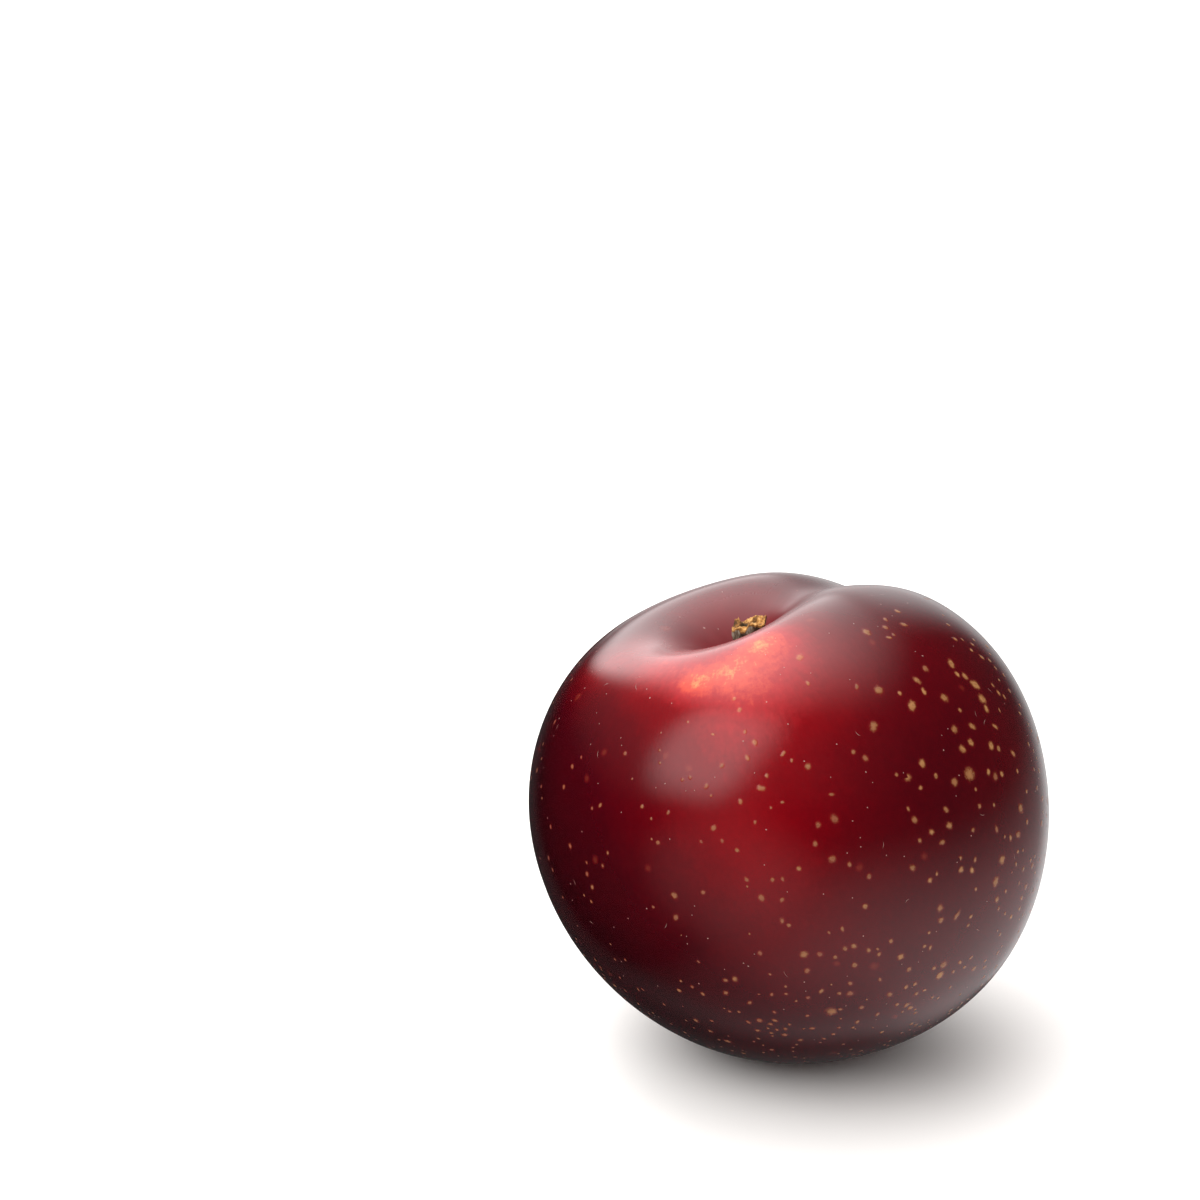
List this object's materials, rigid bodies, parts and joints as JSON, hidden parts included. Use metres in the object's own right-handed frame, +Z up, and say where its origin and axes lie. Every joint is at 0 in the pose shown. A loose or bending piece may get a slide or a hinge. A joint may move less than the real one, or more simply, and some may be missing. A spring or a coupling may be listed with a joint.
{
  "type": "plum",
  "caption": "Ripe dark red plum with a stalk cavity, a suture groove and the broken stub of its stalk, resting on a small flat spot.",
  "frame": {"origin": "middle of the flat spot on which the fruit rests", "axes": "+Z up from the surface; +X to the right and +Y away, as the picture shows the fruit from the front"},
  "size_m": [0.0619, 0.0608, 0.0577],
  "materials": {
    "plum_skin": "waxy semi-gloss dark red plum skin with tan specks",
    "stalk": "dry brown ridged bark with a golden broken end"
  },
  "bodies": {
    "root": {"plum_fruit": "plum_skin", "stem_stub": "stalk"}
  },
  "joints": []
}
